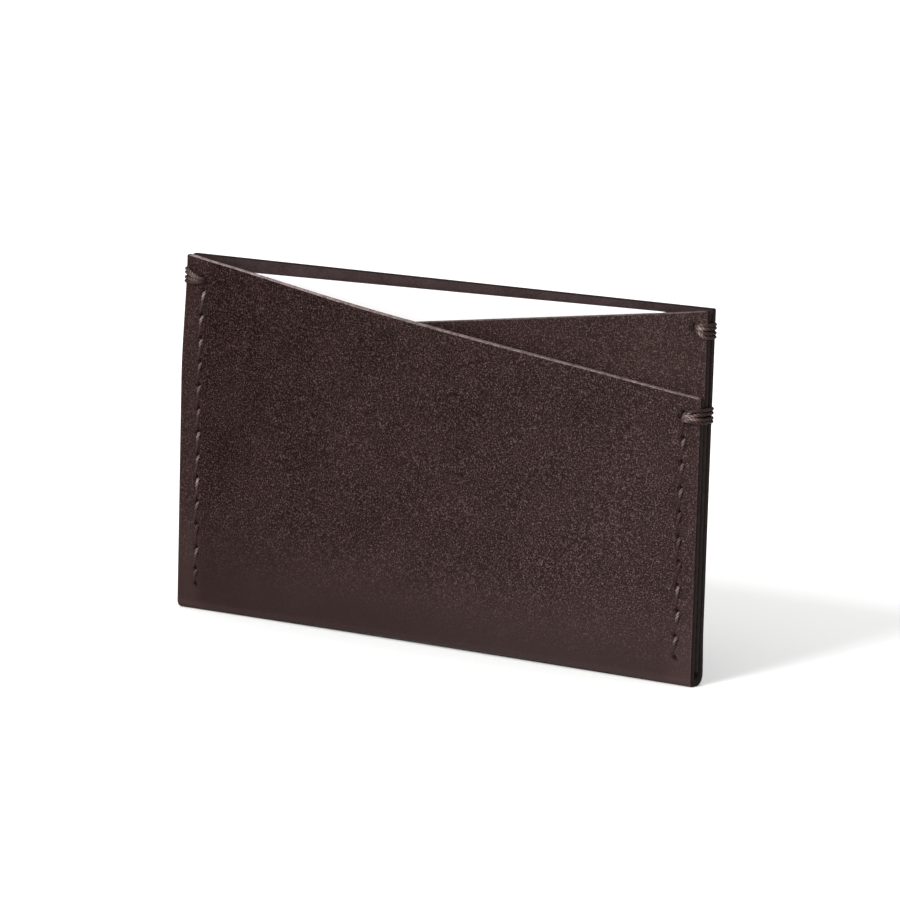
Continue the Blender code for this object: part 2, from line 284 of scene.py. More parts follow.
LEFT_HOLES = seam_holes(LEFT_SEAM_X, seam_heights(LEFT_TOP_HOLE, LEFT_TOP_HOLE))
RIGHT_HOLES = seam_holes(RIGHT_SEAM_X, seam_heights(RIGHT_TOP_HOLE, RIGHT_ROW_TOP))
FULL_STACK_TACKS = [LEFT_TACK, FRONT_TACK]


def dents(x, z, holes, reach=HOLE_REACH):
    """0 to 1: how near each point is to a stitch hole, as a bell curve round each hole.

    The holes are pricked slits, so the curve is longer from the upper left to the lower right.
    """
    total = np.zeros(np.broadcast(x, z).shape)
    for hole_x, hole_z in holes:
        along, across = (x - hole_x) - (z - hole_z), (x - hole_x) + (z - hole_z)
        total += np.exp(-(along / (SLIT_ALONG * reach)) ** 2 - (across / (SLIT_ACROSS * reach)) ** 2)
    return np.clip(total, 0.0, 1.0)


def furrow(x, z, holes):
    """0 to 1: the shallow trough that a row of pulled stitches presses into the leather."""
    low, high = holes[-1][1], holes[0][1]
    along = smoothstep((z - low + 1.0 * MM) / MM) * smoothstep((high + 1.0 * MM - z) / MM)
    line = np.interp(z, holes[::-1, 1], holes[::-1, 0])
    return along * np.exp(-((x - line) / FURROW_REACH) ** 2)


# ---------------------------------------------------------------- mesh makers

def new_piece(name, points, faces, body, node_name, materials):
    """Mesh object that rides on a body and replaces one CAD node."""
    mesh = bpy.data.meshes.new(name)
    mesh.from_pydata(np.asarray(points).reshape(-1, 3).tolist(), [], faces)
    for material in materials:
        mesh.materials.append(material)
    mesh.shade_smooth()
    piece = bpy.data.objects.new(name, mesh)
    bpy.context.scene.collection.objects.link(piece)
    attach(piece, body)
    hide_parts(node_name)
    return piece


def ring_faces(rows, size):
    """Four-sided faces between rings of points, each ring closed from its last point to its first."""
    base = np.arange(rows - 1)[:, None] * size
    col = np.arange(size)[None, :]
    nxt = (col + 1) % size
    quads = np.stack([base + col, base + nxt, base + nxt + size, base + col + size], axis=2)
    return quads.reshape(-1, 4).tolist()


def capped_rings(rows, size):
    """The faces between closed rings, and one flat face to close each end."""
    ends = [list(range(size))[::-1], list(range((rows - 1) * size, rows * size))]
    return ring_faces(rows, size) + ends


def store(piece, name, values):
    """Keeps one number for each vertex under this name, for a material to read."""
    layer = piece.data.attributes.new(name, "FLOAT", "POINT")
    layer.data.foreach_set("value", np.asarray(values, dtype=np.float32).ravel())


def edge_profile(half, end_y, end_z, along_y, along_z, out_y, out_z):
    """Rounded cut edge at the end of a layer, from its outer side to its inner side.

    A quarter circle, a flat with a slight crown, and a quarter circle back, given as distances
    along the layer and across it, and laid out with the end's two directions.
    """
    turn = np.linspace(0.0, np.pi / 2, 5)[1:]
    rise = EDGE_ROUND * np.sin(turn)
    fall = EDGE_ROUND * (1.0 - np.cos(turn))
    flat = np.linspace(1.0, -1.0, 6)[1:-1]
    along = np.concatenate([rise, EDGE_ROUND + EDGE_CROWN * (1.0 - flat ** 2), rise[::-1]])
    half = half[:, None]
    across = np.concatenate([half - fall, (half - EDGE_ROUND) * flat, (fall - half)[:, ::-1]], axis=1)
    y = end_y[:, None] + along * along_y[:, None] + across * out_y[:, None]
    z = end_z[:, None] + along * along_z[:, None] + across * out_z[:, None]
    return y, z


def leather_layer(name, x, path_y, path_z, relief, dent, painted_sheen, pale, node_name, inner_step=3):
    """Leather sheet carried along a middle line at each station x, with rounded cut edges.

    The outer side is the middle line moved half a thickness along its normal, less the relief.
    The inner side is every third of its points moved the other way. Both ends of the line and
    both side edges are rounded, and the sides are closed by strips of six-sided faces. Dent and
    the painted sheen are kept for the outer side, and pale for the cut edge at the line's start.
    """
    half = LEATHER / 2 - quarter_drop(side_depth(x), EDGE_ROUND)
    step_y = np.gradient(path_y, axis=1)
    step_z = np.gradient(path_z, axis=1)
    length = np.hypot(step_y, step_z)
    along_y, along_z = step_y / length, step_z / length
    out_y, out_z = along_z, -along_y
    push = half[:, None] - relief
    outer_y, outer_z = path_y + out_y * push, path_z + out_z * push
    pick = slice(None, None, inner_step)
    inner_y = (path_y - out_y * half[:, None])[:, pick]
    inner_z = (path_z - out_z * half[:, None])[:, pick]
    finish = edge_profile(half, path_y[:, -1], path_z[:, -1], along_y[:, -1], along_z[:, -1],
                          out_y[:, -1], out_z[:, -1])
    start = edge_profile(half, path_y[:, 0], path_z[:, 0], -along_y[:, 0], -along_z[:, 0],
                         out_y[:, 0], out_z[:, 0])
    loop_y = np.concatenate([outer_y, finish[0], inner_y[:, ::-1], start[0][:, ::-1]], axis=1)
    loop_z = np.concatenate([outer_z, finish[1], inner_z[:, ::-1], start[1][:, ::-1]], axis=1)
    loop_x = np.broadcast_to(x[:, None], loop_y.shape)
    points = np.stack([loop_x, loop_y, loop_z], axis=2)

    rows, size = loop_y.shape
    outer_count, rim, inner_count = path_y.shape[1], finish[0].shape[1], inner_y.shape[1]
    faces = ring_faces(rows, size)
    inner_first = outer_count + rim
    inner_last = inner_first + inner_count - 1
    caps = []
    for number in range(inner_count - 1):
        first = number * inner_step
        outer_run = list(range(first, first + inner_step + 1))
        caps.append(outer_run + [inner_last - number - 1, inner_last - number])
    caps.append(list(range(outer_count - 1, inner_first + 1)))
    caps.append(list(range(inner_last, size)) + [0])
    last = (rows - 1) * size
    faces += [cap[::-1] for cap in caps]
    faces += [[corner + last for corner in cap] for cap in caps]

    piece = new_piece(name, points, faces, "wallet", node_name,
                      [GRAIN_SIDE, FLESH_SIDE, CUT_EDGE])
    kind = np.full(size, 2)
    kind[:outer_count - 1] = 0
    kind[inner_first:inner_last] = 1
    near_side = side_depth((x[1:] + x[:-1]) / 2) < EDGE_ROUND * 0.5
    slots = np.where(near_side[:, None], 2, kind[None, :])
    slots = np.concatenate([slots.ravel(), np.full(2 * len(caps), 2)])
    piece.data.polygons.foreach_set("material_index", slots.astype(np.int32))
    for key, values in (("dent", dent), ("painted_sheen", painted_sheen)):
        whole = np.zeros((rows, size))
        whole[:, :outer_count] = values
        store(piece, key, whole)
    light_edge = np.zeros((rows, size))
    light_edge[:, inner_last:] = (pale * smoothstep(side_depth(x) / SIDE_FADE))[:, None]
    light_edge[:, 0] = light_edge[:, -1]
    store(piece, "pale", light_edge)


def carried_tube(path, reference, radius, plies, lay, sides=15):
    """Twisted thread carried along a path: rings of points, the length along it, and how near each
    point is to the crown of its ply.

    Each ring is a circle whose radius swells over each ply. The plies turn once every lay. The
    ring's two directions come from the path's tangent and one fixed reference direction.
    """
    tangent = np.gradient(path, axis=0)
    tangent /= np.linalg.norm(tangent, axis=1)[:, None]
    side = reference - tangent * (tangent @ reference)[:, None]
    side /= np.linalg.norm(side, axis=1)[:, None]
    up = np.cross(tangent, side)
    step = np.linalg.norm(np.diff(path, axis=0), axis=1)
    length = np.concatenate([[0.0], np.cumsum(step)])
    angle = np.arange(sides) * 2 * np.pi / sides
    ply = np.abs(np.cos(plies / 2 * (angle[None, :] - 2 * np.pi * length[:, None] / lay)))
    swollen = radius * (0.84 + 0.16 * ply)
    rings = path[:, None, :] + swollen[:, :, None] * (
        np.cos(angle)[None, :, None] * side[:, None, :] + np.sin(angle)[None, :, None] * up[:, None, :])
    return rings, length, ply


def soft_path(keys, step=0.11 * MM, soften=4):
    """Even points along straight runs between key points, rounded by a running mean.

    Each key is a place and a fourth number that is carried along and softened with it.
    """
    keys = np.asarray(keys)
    run = np.concatenate([[0.0], np.cumsum(np.linalg.norm(np.diff(keys[:, :3], axis=0), axis=1))])
    count = int(run[-1] / step)
    even = np.stack([np.interp(np.linspace(0.0, run[-1], count), run, column) for column in keys.T], axis=1)
    kernel = np.hanning(2 * soften + 1)
    kernel /= kernel.sum()
    padded = np.pad(even, ((soften, soften), (0, 0)), mode="edge")
    softened = np.stack([np.convolve(column, kernel, mode="valid") for column in padded.T], axis=1)
    return softened[:, :3], softened[:, 3]


def thread_piece(name, node_name, keys, reference, radius=THREAD_RADIUS):
    """Closed three-ply thread along key points, with a UV map that runs round it and along it.

    The fourth number of each key is kept as how much pale highlight is painted on the thread there.
    """
    path, painted_sheen = soft_path(keys)
    rings, length, ply = carried_tube(path, np.array(reference), radius, 3, THREAD_LAY)
    count, sides = rings.shape[:2]
    piece = new_piece(name, rings, capped_rings(count, sides), "wallet", node_name, [THREAD])
    store(piece, "ply", ply)
    store(piece, "painted_sheen", np.broadcast_to(painted_sheen[:, None], (count, sides)))
    around = np.broadcast_to(np.arange(sides) / sides, (count, sides))
    along = np.broadcast_to(length[:, None] / (2 * np.pi * radius), (count, sides))
    uv = np.stack([around.ravel(), along.ravel()], axis=1)
    corners = np.zeros(len(piece.data.loops), dtype=np.int32)
    piece.data.loops.foreach_get("vertex_index", corners)
    layer = piece.data.uv_layers.new(name="lay")
    layer.data.foreach_set("uv", uv[corners].astype(np.float32).ravel())


# ---------------------------------------------------------------- materials

def srgb(text):
    """Linear colour of an sRGB hex value."""
    parts = [int(text[k:k + 2], 16) / 255 for k in (1, 3, 5)]
    return tuple(c / 12.92 if c <= 0.04045 else ((c + 0.055) / 1.055) ** 2.4 for c in parts) + (1.0,)


def wire(tree, made, inputs):
    """Links each input of a node to its socket, or sets it to its value."""
    for key, value in inputs.items():
        if isinstance(value, bpy.types.NodeSocket):
            tree.links.new(value, made.inputs[key])
        else:
            made.inputs[key].default_value = value


def node(tree, kind, inputs, **settings):
    """Adds a node, gives it its settings, and sets or links each input."""
    made = tree.nodes.new(kind)
    for key, value in settings.items():
        setattr(made, key, value)
    wire(tree, made, inputs)
    return made


def noise(tree, place, size, detail, roughness=0.5):
    """Cloudy pattern from 0 to 1, whose largest lumps are about this size."""
    return node(tree, "ShaderNodeTexNoise", {"Vector": place, "Scale": 1 / size, "Detail": detail,
                                             "Roughness": roughness}).outputs["Fac"]


def ranged(tree, value, low, high, to_low=0.0, to_high=1.0, **settings):
    """The value's range from low to high carried over to another range, and held at its ends."""
    return node(tree, "ShaderNodeMapRange", {"Value": value, "From Min": low, "From Max": high,
                                             "To Min": to_low, "To Max": to_high},
                **settings).outputs["Result"]


def times(tree, value, share):
    """The value times its share."""
    return node(tree, "ShaderNodeMath", {0: value, 1: share}, operation="MULTIPLY").outputs[0]


def added(tree, value, share, other):
    """The value times its share, plus the other value."""
    return node(tree, "ShaderNodeMath", {0: value, 1: share, 2: other},
                operation="MULTIPLY_ADD").outputs[0]


def mixed(tree, factor, first, second):
    """Colour between two colours: the first at factor 0, and the second at factor 1."""
    return node(tree, "ShaderNodeMix", {"Factor": factor, "A": first, "B": second},
                data_type="RGBA").outputs["Result"]


def bumped(tree, height, distance, strength=1.0):
    """Normal of a surface raised by this height, which is distance deep from 0 to 1."""
    return node(tree, "ShaderNodeBump", {"Height": height, "Distance": distance,
                                         "Strength": strength}).outputs["Normal"]


def kept(tree, name):
    """The number that store() has kept for each vertex."""
    return node(tree, "ShaderNodeAttribute", {}, attribute_name=name).outputs["Fac"]


def blank_material(name):
    """Material with only a shader and its output, and the place on the object to read."""
    material = bpy.data.materials.new(name)
    material.use_nodes = True
    tree = material.node_tree
    tree.nodes.clear()
    shader = node(tree, "ShaderNodeBsdfPrincipled", {})
    node(tree, "ShaderNodeOutputMaterial", {"Surface": shader.outputs["BSDF"]})
    place = node(tree, "ShaderNodeTexCoord", {}).outputs["Object"]
    return material, tree, shader, place


def full_grain_leather():
    """Calf leather, drum dyed and lightly pressed: fine dark pebbles, darker creases between them and pale
    flecks that are painted glints. Towards the fold the grain has been stretched smooth. Painted light
    makes it darker and duller towards the upper left, with a lower specular level, and paler to the lower
    right."""
    material, tree, shader, place = blank_material("full_grain_leather_pressed")
    pebble_size, pore_size = 0.34 * MM, 0.25 * MM

    # Pebbles and pores, bent so that no row or grid shows
    wander = node(tree, "ShaderNodeTexNoise", {"Vector": place, "Scale": 1 / (0.9 * MM), "Detail": 2.0})
    drift = node(tree, "ShaderNodeVectorMath",
                 {0: wander.outputs["Color"], 1: (0.5, 0.5, 0.5)}, operation="SUBTRACT")
    bent = node(tree, "ShaderNodeVectorMath", {0: drift.outputs["Vector"], 1: (0.4 * MM,) * 3, 2: place},
                operation="MULTIPLY_ADD").outputs["Vector"]
    cell = node(tree, "ShaderNodeTexVoronoi", {"Vector": bent, "Scale": 1 / pebble_size},
                feature="DISTANCE_TO_EDGE").outputs["Distance"]
    pebble = ranged(tree, cell, 0.0, 0.34, interpolation_type="SMOOTHSTEP")
    pore = noise(tree, bent, pore_size, 1.0, 0.6)
    cloud = noise(tree, place, 9 * MM, 3.0, 0.55)
    patch = noise(tree, place, 1.6 * MM, 2.0)

    # How coarse the grain is: nearly smooth by the fold, and full a finger's width above it
    level = node(tree, "ShaderNodeVectorMath", {0: place, 1: (0.05, 0.0, 1.0)}, operation="DOT_PRODUCT")
    coarse = ranged(tree, level.outputs["Value"], 3.5 * MM, 17 * MM, 0.08, 1.0)

    # Dye, pale flecks on the pores as painted glints, darker creases, then the smooth leather by the fold
    dyed = mixed(tree, ranged(tree, added(tree, patch, 0.5, cloud), 0.58, 0.92),
                 srgb("#241413"), srgb("#2e1b1a"))
    painted_glint_flecked = mixed(tree, ranged(tree, pore, 0.47, 0.70, 0.0, 0.90), dyed, srgb("#705a57"))
    creased = mixed(tree, ranged(tree, pebble, 0.0, 1.0, 0.65, 0.0), painted_glint_flecked, srgb("#120909"))
    grained = mixed(tree, coarse, srgb("#2e2120"), creased)

    # Painted light: darker towards the upper left and paler to the lower right, over a random cloudy tone,
    # with a lower specular level towards the upper left
    lean = node(tree, "ShaderNodeVectorMath", {0: place, 1: (0.70 / WIDTH, 0.0, -0.25 / HEIGHT)},
                operation="DOT_PRODUCT").outputs["Value"]
    tone_and_painted_light = added(tree, cloud, 0.35, lean)
    tone_and_light_scale = ranged(tree, tone_and_painted_light, -0.30, 0.35, 0.66, 0.95)
    tone_and_light_scaled = node(tree, "ShaderNodeVectorMath", {0: grained, 1: tone_and_light_scale}, operation="MULTIPLY")
    sheen = ranged(tree, tone_and_painted_light, -0.30, 0.35, 0.02, 0.10)

    # Painted sheen along the fold, the side edges and their margins, and painted shade in the stitch holes
    painted_sheen_mixed = mixed(tree, times(tree, kept(tree, "painted_sheen"), 0.4), tone_and_light_scaled.outputs["Vector"], srgb("#4a3937"))
    pricked = mixed(tree, times(tree, kept(tree, "dent"), 0.95), painted_sheen_mixed, srgb("#0a0505"))
    wire(tree, shader, {"Base Color": pricked,
                        "Roughness": ranged(tree, pebble, 0.0, 1.0, 0.70, 0.42),
                        "Specular IOR Level": sheen,
                        "Normal": bumped(tree, added(tree, pebble, 0.20, pore), 0.34 * MM, coarse)})
    return material


def split_leather():
    """The leather's inner side, as split: a short matt nap, greyer and rougher than the grain."""
    material, tree, shader, place = blank_material("leather_flesh_side_split")
    nap = noise(tree, place, 0.3 * MM, 3.0, 0.7)
    cloud = noise(tree, place, 4 * MM, 3.0)
    shade = ranged(tree, added(tree, cloud, 0.6, nap), 0.5, 1.1)
    wire(tree, shader, {"Base Color": mixed(tree, shade, srgb("#241a1a"), srgb("#3c3031")),
                        "Roughness": 0.9,
                        "Specular IOR Level": 0.06,
                        "Normal": bumped(tree, nap, 0.06 * MM)})
    return material


def cut_leather():
    """Cut leather edge: bundled fibres, stained dark and waxed smooth, or paler where left raw."""
    material, tree, shader, place = blank_material("leather_cut_edge_stained")
    fibre = noise(tree, place, 0.28 * MM, 3.0, 0.65)
    knot = noise(tree, place, 1.1 * MM, 2.0)
    shade = ranged(tree, added(tree, knot, 0.8, fibre), 0.68, 1.14)
    stained = mixed(tree, shade, srgb("#120b0b"), srgb("#221716"))
    raw = mixed(tree, shade, srgb("#564948"), srgb("#948582"))
    pale = kept(tree, "pale")
    wire(tree, shader, {"Base Color": mixed(tree, pale, stained, raw),
                        "Roughness": ranged(tree, pale, 0.0, 1.0, 0.62, 0.85),
                        "Specular IOR Level": 0.05,
                        "Normal": bumped(tree, fibre, 0.05 * MM)})
    return material


def waxed_thread():
    """Polyester sewing thread, twisted from three plies and waxed: painted shade in the lays between the
    plies, fine filaments along them, a soft shine, and pale fibres painted on as a highlight where the stored
    sheen is high."""
    material, tree, shader, _ = blank_material("waxed_polyester_thread")
    lay = node(tree, "ShaderNodeUVMap", {}, uv_map="lay").outputs["UV"]
    turned = node(tree, "ShaderNodeMapping", {"Vector": lay, "Scale": (26.0, 1.6, 1.0)})
    filament = noise(tree, turned.outputs["Vector"], 1.0, 2.0)
    # Painted shade: darker in the lays between the plies, streaked by the filaments
    shade = ranged(tree, times(tree, filament, kept(tree, "ply")), 0.0, 0.62)
    waxed = mixed(tree, shade, srgb("#110909"), srgb("#3c2b28"))
    # Painted highlight: pale fibres where the stored sheen is high
    fibres = times(tree, shade, kept(tree, "painted_sheen"))
    wire(tree, shader, {"Base Color": mixed(tree, fibres, waxed, srgb("#b5a29c")),
                        "Roughness": 0.5,
                        "Specular IOR Level": 0.05,
                        "Normal": bumped(tree, shade, 0.04 * MM)})
    return material


def laminated_card():
    """White PVC card, laminated between press plates: even satin white with a faint ripple, and a
    greyer core line round its edge."""
    material, tree, shader, place = blank_material("laminated_white_pvc")
    cloud = noise(tree, place, 12 * MM, 2.0)
    white = mixed(tree, cloud, srgb("#ebeaea"), srgb("#efeeee"))
    ripple = noise(tree, place, 0.5 * MM, 2.0)
    wire(tree, shader, {"Base Color": mixed(tree, kept(tree, "core"), white, srgb("#cfccc8")),
                        "Roughness": ranged(tree, cloud, 0.0, 1.0, 0.34, 0.42),
                        "Normal": bumped(tree, ripple, 0.004 * MM)})
    return material


def white_paper():
    """Matt white background paper, with the faint unevenness of its pulp."""
    material, tree, shader, place = blank_material("matt_white_paper")
    pulp = noise(tree, place, 1.5 * MM, 3.0)
    wire(tree, shader, {"Base Color": mixed(tree, pulp, srgb("#efefee"), srgb("#f1f1f1")),
                        "Roughness": 0.95,
                        "Specular IOR Level": 0.1})
    return material


GRAIN_SIDE = full_grain_leather()
FLESH_SIDE = split_leather()
CUT_EDGE = cut_leather()
THREAD = waxed_thread()
CARD_PLASTIC = laminated_card()
PAPER = white_paper()


# ---------------------------------------------------------------- leather pieces

def ripple(x, z):
    """Slow unevenness of the leather: the mean of six sine waves in random directions."""
    total = np.zeros(np.broadcast(x, z).shape)
    for _ in range(6):
        heading, length = rng.uniform(0.0, np.pi), rng.uniform(14, 34) * MM
        across = x * np.cos(heading) + z * np.sin(heading)
        total += np.sin(2 * np.pi * across / length + rng.uniform(0.0, 2 * np.pi))
    return total / 6


def pressed(x, z, holes, tacks):
    """Relief and dents of one leather face: furrow, stitch holes and the slow ripple."""
    pricks = dents(x, z, holes[0]) + dents(x, z, holes[1]) + dents(x, z, np.array(tacks), TACK_DENT)
    trough = furrow(x, z, holes[0]) + furrow(x, z, holes[1])
    relief = FURROW_DEPTH * trough + DENT_DEPTH * np.clip(pricks, 0.0, 1.0) + RIPPLE_DEPTH * ripple(x, z)
    return relief * smoothstep(side_depth(x) / SIDE_FADE), np.clip(pricks, 0.0, 1.0)


def shell_leather():
    """The folded outer shell: front panel, fold and back panel as one strip of leather.

    Its middle line comes down the front, turns through two quarter circles with a flat between
    them, and goes up the back. The fold rises a hair between its ends, as it stands on them.
    """
    x = graded(-WIDTH / 2, WIDTH / 2, COLUMNS, END_SPOTS + SEAM_SPOTS)
    column = x[:, None]
    rise = FOLD_RISE * np.clip(1.0 - (2 * column / WIDTH) ** 2, 0.0, 1.0)
    near_bend = LEATHER / 2 + NEAR_FOLD_RADIUS + rise
    far_bend = LEATHER / 2 + FAR_FOLD_RADIUS + rise
    back_y = BACK_FACE - LEATHER / 2 + FOLD_BULGE
    share = np.linspace(0.0, 1.0, FRONT_ROWS)[None, :]
    top = front_top(column) - EDGE_ROUND
    front_z = top + (near_bend - top) * share
    front_y = front_middle(column, front_z)
    turn = np.linspace(0.0, np.pi / 2, 10)[None, 1:]
    front_bend_y = front_middle(column, near_bend)
    near_y = front_bend_y + NEAR_FOLD_RADIUS * (1.0 - np.cos(turn))
    near_z = near_bend - NEAR_FOLD_RADIUS * np.sin(turn)
    flat = np.linspace(0.0, 1.0, 5)[None, 1:-1]
    flat_start, flat_end = front_bend_y + NEAR_FOLD_RADIUS, back_y - FAR_FOLD_RADIUS
    flat_y = flat_start + (flat_end - flat_start) * flat
    flat_z = np.broadcast_to(LEATHER / 2 + rise, flat_y.shape)
    far = np.linspace(0.0, np.pi / 2, 10)[None, :]
    far_z = far_bend - FAR_FOLD_RADIUS * np.cos(far)
    far_y = np.broadcast_to(flat_end + FAR_FOLD_RADIUS * np.sin(far), far_z.shape)
    share = np.linspace(0.0, 1.0, BACK_ROWS + 1)[None, 1:]
    back_z = far_bend + (back_top(column) - EDGE_ROUND - far_bend) * share
    settle = smoothstep((back_z - far_bend) / FOLD_BULGE_HEIGHT)
    upright_y = back_y - FOLD_BULGE * settle + BACK_LEAN * np.clip(back_z / HEIGHT, 0.0, 1.0) ** 2
    path_y = np.concatenate([front_y, near_y, flat_y, far_y, upright_y], axis=1)
    path_z = np.concatenate([front_z, near_z, flat_z, far_z, back_z], axis=1)

    relief = np.zeros_like(path_z)
    dent = np.zeros_like(path_z)
    calm = smoothstep((front_z - near_bend) / CALM_REACH)
    front_relief, dent[:, :FRONT_ROWS] = pressed(column, front_z, (LEFT_HOLES, RIGHT_HOLES), FULL_STACK_TACKS)
    relief[:, :FRONT_ROWS] = front_relief * calm
    calm = smoothstep((back_z - far_bend) / CALM_REACH)
    back_relief, dent[:, -BACK_ROWS:] = pressed(
        column, back_z, (LEFT_HOLES, RIGHT_HOLES), FULL_STACK_TACKS + [DIVIDER_TACK])
    relief[:, -BACK_ROWS:] = back_relief * calm
    # Painted highlight along the fold and round the side edges, and painted sheen over the side margins, on
    # the right fading upwards
    painted_sheen = np.exp(-((path_z - LEATHER / 2) / FOLD_SHEEN_REACH) ** 2)
    painted_sheen += SIDE_SHEEN * np.exp(-(side_depth(column) / SIDE_SHEEN_REACH) ** 2)
    margin = 1.0 - smoothstep((side_depth(column) - MARGIN) / MARGIN_FADE)
    painted_sheen += MARGIN_SHEEN * margin * np.where(column < 0.0, 1.0, 1.0 - path_z / HEIGHT)
    pale = 1.0 - PALE_DROP * smoothstep((x + PALE_REACH) / PALE_REACH)
    leather_layer("shell_leather", x, path_y, path_z, relief, dent, np.clip(painted_sheen, 0.0, 1.0), pale,
                  "outer_shell")


def divider_leather():
    """The divider: one sheet from its diagonal top edge down to its foot just above the fold."""
    x = graded(-WIDTH / 2, WIDTH / 2, COLUMNS, END_SPOTS + SEAM_SPOTS)
    column = x[:, None]
    share = np.linspace(0.0, 1.0, DIVIDER_ROWS)[None, :]
    top, foot = divider_top(column) - EDGE_ROUND, DIVIDER_FOOT + EDGE_ROUND
    path_z = top + (foot - top) * share
    path_y = divider_middle(column, path_z)
    dent = dents(column, path_z, np.array([DIVIDER_TACK]), TACK_DENT)
    # Painted sheen over the whole divider face, and painted highlight round its side edges
    painted_sheen = np.clip(DIVIDER_SHEEN + np.exp(-(side_depth(column) / SIDE_SHEEN_REACH) ** 2), 0.0, 1.0)
    leather_layer("divider_leather", x, path_y, path_z, DENT_DEPTH * dent, dent, painted_sheen, DIVIDER_PALE,
                  "divider_panel")


shell_leather()
divider_leather()


# ---------------------------------------------------------------- thread pieces

def seam_keys(holes, outward, highlight):
    """Key points of one thread of a seam, from its top hole to its lowest one, and its painted highlight.

    Each stitch comes up at the right end of its slit, arches steeply, where a pale highlight is painted
    on it, sinks into the furrow and goes down at the left end of the next slit. Outward is -1 on the
    front and +1 on the back, and the last argument is the most highlight painted on any stitch.
    """
    keys = []
    last = len(holes) - 1
    half_slant = STITCH_SLANT / 2
    for number, (x, z) in enumerate(holes):
        def at(height, place, sway=0.0, painted_sheen=0.0):
            face = float(front_face(x, place)) if outward < 0 else BACK_FACE
            return (x + sway, face + outward * height, place, painted_sheen)
        if number > 0:
            keys += [at(THREAD_SINK, z + 1.2 * STRAND_OFFSET, -0.8 * half_slant),
                     at(-0.7 * HOOK_DEPTH, z + 0.7 * STRAND_OFFSET, -0.5 * half_slant)]
        keys.append(at(-HOOK_DEPTH, z))
        if number < last:
            next_x, next_z = holes[number + 1]
            span = z - next_z
            lean = (next_x - x) / span
            sway = rng.normal(0.0, 0.05 * MM)
            painted_sheen = highlight * rng.uniform(0.1, 1.0)
            keys += [at(-0.7 * HOOK_DEPTH, z - 0.7 * STRAND_OFFSET, 0.6 * half_slant),
                     at(0.6 * THREAD_LIFT, z - 1.1 * STRAND_OFFSET, 0.9 * half_slant, painted_sheen)]
            for share, height, fade in ((0.20, THREAD_LIFT, 0.9), (0.34, 0.6 * THREAD_LIFT, 0.2),
                                        (0.52, THREAD_SINK, 0.1), (0.80, THREAD_SINK, 0.05)):
                slant = STITCH_SLANT * (0.5 - share)
                keys.append(at(height, z - share * span, lean * share * span + slant + sway, fade * painted_sheen))
    return keys


def wrap_keys(hole_x, hole_z, climb, painted_sheen):
    """Key points of four turns of thread round a side edge, through one hole, and their painted highlight.

    The turns leave the hole on the front, fan apart towards the edge, pass round it side by side
    and come back to the hole behind. The strand that joins them crosses inside the stack. Climb
    is how much higher they stand at the edge than at the hole, and the last argument is the most
    highlight painted on any of them.
    """
    side = np.sign(hole_x)
    edge_x = side * (WIDTH / 2 + WRAP_LIFT)
    inset = side * WRAP_TURN
    keys = []
    for number, fan in enumerate(TACK_FAN):
        near_z, far_z = hole_z + 0.28 * fan, hole_z + climb + fan + rng.normal(0.0, 0.03 * MM)
        middle_z = (near_z + far_z) / 2 + rng.normal(0.0, 0.14 * MM)
        stack = 0.5 * WRAP_LIFT * (number % 2)
        front_hole = float(front_face(hole_x, near_z)) - 0.4 * WRAP_LIFT - stack
        front_edge = float(front_face(side * (WIDTH / 2 - 0.001 * MM), far_z)) - WRAP_LIFT
        behind = BACK_FACE + WRAP_LIFT
        painted_sheen_near_hole, painted_sheen_midway = painted_sheen * rng.uniform(0.0, 1.0, 2) ** 2
        keys += [
            (hole_x, front_hole + HOOK_DEPTH, near_z, 0.0),
            (hole_x + side * 0.30 * MM, front_hole + 0.35 * MM, near_z, 0.2 * painted_sheen_near_hole),
            (hole_x + side * 0.75 * MM, front_hole - 0.3 * WRAP_LIFT, near_z, painted_sheen_near_hole),
            (hole_x + 0.5 * (edge_x - hole_x), (front_hole + front_edge) / 2 - 0.6 * WRAP_LIFT, middle_z,
             painted_sheen_midway),
            (edge_x - inset, front_edge, far_z, 0.15 * painted_sheen_midway),
            (edge_x, front_edge + WRAP_TURN, far_z, 0.0),
            (edge_x, behind - WRAP_TURN, far_z, 0.0),
            (edge_x - inset, behind, far_z, 0.15 * painted_sheen_midway),
            (hole_x + side * 0.15 * MM, behind - 0.3 * WRAP_LIFT, near_z, painted_sheen_near_hole),
            (hole_x, behind - HOOK_DEPTH, near_z, 0.0),
        ]
    return keys


for side_name, holes, highlight in (("left", LEFT_HOLES, LEFT_HIGHLIGHT), ("right", RIGHT_HOLES, RIGHT_HIGHLIGHT)):
    for face_name, outward in (("front", -1), ("back", 1)):
        thread_piece(f"{side_name}_seam_{face_name}_twine", f"{side_name}_seam_{face_name}_thread",
                     seam_keys(holes, outward, highlight), (1.0, 0.0, 0.0))
# The last number of each wrap is the most pale highlight painted on its strands
for wrap_name, node_name, place, climb, painted_sheen in (
        ("left_edge_wrap", "left_edge_tack", LEFT_TACK, 0.65 * MM, 0.7),
        ("right_front_edge_wrap", "right_front_edge_tack", FRONT_TACK, 0.45 * MM, 1.0),
        ("right_divider_edge_wrap", "right_divider_edge_tack", DIVIDER_TACK, -0.35 * MM, 0.9)):
    thread_piece(wrap_name, node_name, wrap_keys(*place, climb, painted_sheen), (0.0, 0.0, 1.0), WRAP_RADIUS)


# ---------------------------------------------------------------- card

